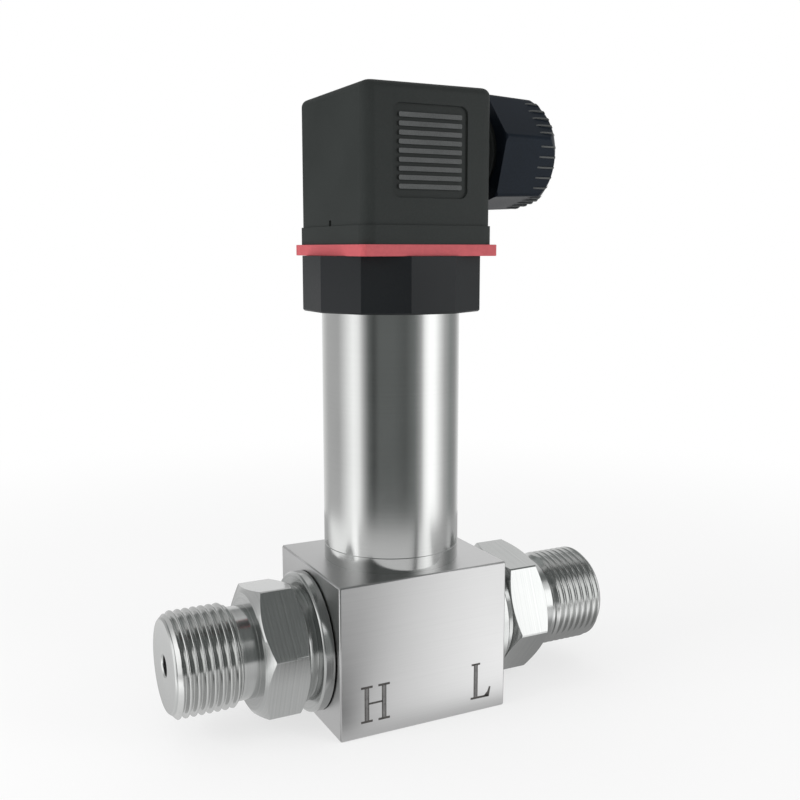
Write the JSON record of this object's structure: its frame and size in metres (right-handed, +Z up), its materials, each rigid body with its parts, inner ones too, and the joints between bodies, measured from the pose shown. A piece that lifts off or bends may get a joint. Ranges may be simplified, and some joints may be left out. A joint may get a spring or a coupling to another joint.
{
  "type": "differential pressure transmitter",
  "caption": "Differential pressure transmitter: steel block with two threaded ports, upright tube, twelve-sided base and a square plug with cable gland.",
  "frame": {"origin": "centre of the block's bottom face, midway between the two port ends", "axes": "+X from the high pressure port towards the low pressure port, +Y away from the lettered face, +Z up along the housing tube"},
  "size_m": [0.094, 0.034, 0.1217],
  "materials": {
    "stainless_block": "satin brushed stainless steel",
    "stainless_tube": "polished stainless steel tube",
    "stainless_turned": "bright turned stainless steel",
    "diaphragm_foil": "rolled stainless foil",
    "seal_rubber": "black rubber, matte",
    "header_glass": "fused glass seal, drawn as opaque",
    "silicon": "polished silicon on glass",
    "gold_pins": "gold-plated pins",
    "lead_sleeve": "white sleeved leads",
    "holder_nylon": "natural nylon",
    "board_laminate": "green solder-masked laminate",
    "chip_resin": "black moulded chip bodies",
    "capacitor_sleeve": "dark sleeved capacitors",
    "trimmer_blue": "blue trimmer bodies",
    "base_nylon": "black glass-filled nylon",
    "tinned_brass": "tin-plated brass",
    "brass": "turned brass",
    "gasket_red": "red silicone rubber, matte",
    "plug_nylon": "black moulded nylon, finely textured",
    "insert_nylon": "grey moulded nylon",
    "zinc_screw": "zinc-plated steel",
    "seal_washer_fibre": "black sealing ring",
    "gland_nylon": "blue-black moulded nylon, half gloss",
    "washer_steel": "plain steel washer"
  },
  "bodies": {
    "transmitter": {"sensor_block": "stainless_block", "neck_ring": "stainless_tube", "housing_tube": "stainless_tube", "high_side_fitting": "stainless_turned", "low_side_fitting": "stainless_turned", "high_collar_seal": "seal_rubber", "low_collar_seal": "seal_rubber", "high_inner_seal": "seal_rubber", "low_inner_seal": "seal_rubber", "sensor_capsule": "stainless_turned", "high_diaphragm": "diaphragm_foil", "low_diaphragm": "diaphragm_foil", "high_weld_ring": "stainless_turned", "low_weld_ring": "stainless_turned", "sensor_header": "header_glass", "pressure_chip": "silicon", "header_pins": "gold_pins", "sensor_leads": "lead_sleeve", "board_holder": "holder_nylon", "circuit_board": "board_laminate", "board_chips": "chip_resin", "board_capacitors": "capacitor_sleeve", "board_trimmers": "trimmer_blue", "board_leads": "lead_sleeve", "connector_base": "base_nylon", "base_seal": "seal_rubber", "contact_blades": "tinned_brass", "earth_blade": "tinned_brass", "screw_insert": "brass", "connector_gasket": "gasket_red"},
    "plug": {"plug_housing": "plug_nylon", "terminal_insert": "insert_nylon", "contact_clips": "tinned_brass", "terminal_screws": "zinc_screw", "gland_grommet": "seal_rubber"},
    "screw_lift": {"screw_seal": "seal_washer_fibre"},
    "screw": {"centre_screw": "zinc_screw"},
    "gland_travel": {"gland_washer": "washer_steel"},
    "nut": {"gland_nut": "gland_nylon"}
  },
  "joints": [
    {"name": "plug_pull", "type": "slide", "parent": "transmitter", "child": "plug", "axis": [0, 0, 1], "range_m": [0, 0.03]},
    {"name": "screw_lift_slide", "type": "slide", "parent": "plug", "child": "screw_lift", "axis": [0, 0, 1], "range_m": [0, 0.0055]},
    {"name": "screw_turn", "type": "hinge", "parent": "screw_lift", "child": "screw", "pos_m": [0.0004, 0, 0.119], "axis": [0, 0, 1], "range_deg": [0, 3960]},
    {"name": "gland_travel_slide", "type": "slide", "parent": "plug", "child": "gland_travel", "axis": [1, 0, 0], "range_m": [0, 0.00705]},
    {"name": "gland_turn", "type": "hinge", "parent": "gland_travel", "child": "nut", "pos_m": [0.025, 0, 0.1105], "axis": [1, 0, 0], "range_deg": [0, 1800]}
  ],
  "couplings": [
    {"joint": "screw_turn", "follows": "screw_lift_slide", "rad_per_m": 12566},
    {"joint": "gland_travel_slide", "follows": "gland_turn", "m_per_rad": 0.00022441}
  ]
}
